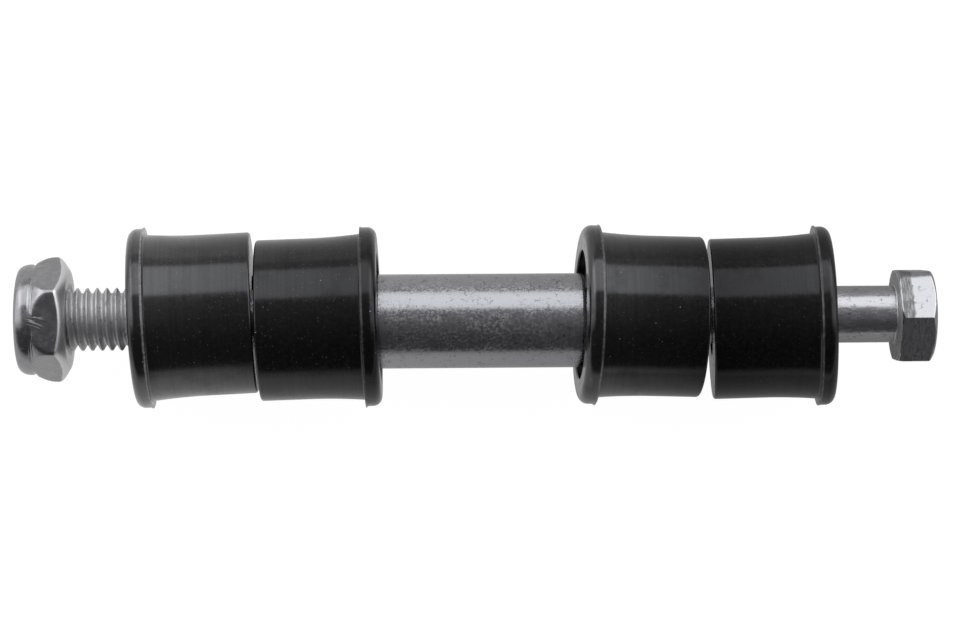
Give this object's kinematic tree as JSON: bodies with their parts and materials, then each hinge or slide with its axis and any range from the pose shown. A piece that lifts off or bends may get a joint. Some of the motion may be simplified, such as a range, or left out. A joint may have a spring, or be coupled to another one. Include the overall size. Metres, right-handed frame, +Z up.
{
  "type": "stabilizer link",
  "caption": "Bolt-type stabilizer link: a hex bolt through a spacer sleeve and flanged rubber half bushes with thrust washers, closed by a collared locking nut.",
  "frame": {"origin": "on the bolt axis, at the middle of the overall length", "axes": "+X along the bolt towards its head; +Z up, as the link lies on a table; +Y across"},
  "size_m": [0.1412, 0.0286, 0.0285],
  "materials": {
    "bolt_zinc": "zinc plated",
    "nut_zinc": "bright zinc plated",
    "nylon": "plain",
    "sleeve_zinc": "zinc plated, mottled",
    "bush_rubber": "moulded, satin",
    "washer_steel": "phosphated"
  },
  "bodies": {
    "bolt": {"bolt": "bolt_zinc"},
    "nut_travel": {"locking_ring": "nylon"},
    "locking_nut": {"locking_nut": "nut_zinc"},
    "nut_end_outer_washer": {"nut_end_outer_washer": "washer_steel"},
    "nut_end_outer_bush": {"nut_end_outer_bush": "bush_rubber"},
    "nut_end_inner_bush": {"nut_end_inner_bush": "bush_rubber", "nut_end_inner_washer": "washer_steel"},
    "spacer_sleeve": {"spacer_sleeve": "sleeve_zinc"},
    "head_end_inner_bush": {"head_end_inner_bush": "bush_rubber", "head_end_inner_washer": "washer_steel"},
    "head_end_outer_washer": {"head_end_outer_washer": "washer_steel"},
    "head_end_outer_bush": {"head_end_outer_bush": "bush_rubber"}
  },
  "joints": [
    {"name": "nut_travel", "type": "slide", "parent": "bolt", "child": "nut_travel", "axis": [1, 0, 0], "range_m": [-0.0068, 0.0038]},
    {"name": "nut_turn", "type": "hinge", "parent": "nut_travel", "child": "locking_nut", "pos_m": [-0.066, 0, 0], "axis": [1, 0, 0], "range_deg": [-1620, 900]},
    {"name": "nut_end_bush_slide", "type": "slide", "parent": "bolt", "child": "nut_end_outer_washer", "axis": [1, 0, 0], "range_m": [-0.004, 0]},
    {"name": "nut_end_outer_bush_spin", "type": "hinge", "parent": "nut_end_outer_washer", "child": "nut_end_outer_bush", "pos_m": [-0.04377, 0.00045, 0], "axis": [0.9988, 0.0463, -0.0156], "continuous": true},
    {"name": "nut_end_inner_bush_spin", "type": "hinge", "parent": "bolt", "child": "nut_end_inner_bush", "pos_m": [-0.02441, -0.0001, 0], "axis": [0.9994, 0.0305, 0.0139], "continuous": true},
    {"name": "sleeve_spin", "type": "hinge", "parent": "bolt", "child": "spacer_sleeve", "pos_m": [0.00047, -0.00064, 0], "axis": [1, 0, 0], "continuous": true},
    {"name": "head_end_inner_bush_spin", "type": "hinge", "parent": "bolt", "child": "head_end_inner_bush", "pos_m": [0.02534, 0, 0], "axis": [0.9986, -0.0291, -0.0434], "continuous": true},
    {"name": "head_end_bush_slide", "type": "slide", "parent": "bolt", "child": "head_end_outer_washer", "axis": [1, 0, 0], "range_m": [0, 0.008]},
    {"name": "head_end_outer_bush_spin", "type": "hinge", "parent": "head_end_outer_washer", "child": "head_end_outer_bush", "pos_m": [0.04572, -0.00038, 0], "axis": [0.998, 0.0245, 0.0575], "continuous": true}
  ],
  "couplings": [
    {"joint": "nut_travel", "follows": "nut_turn", "m_per_rad": 0.00023873}
  ]
}
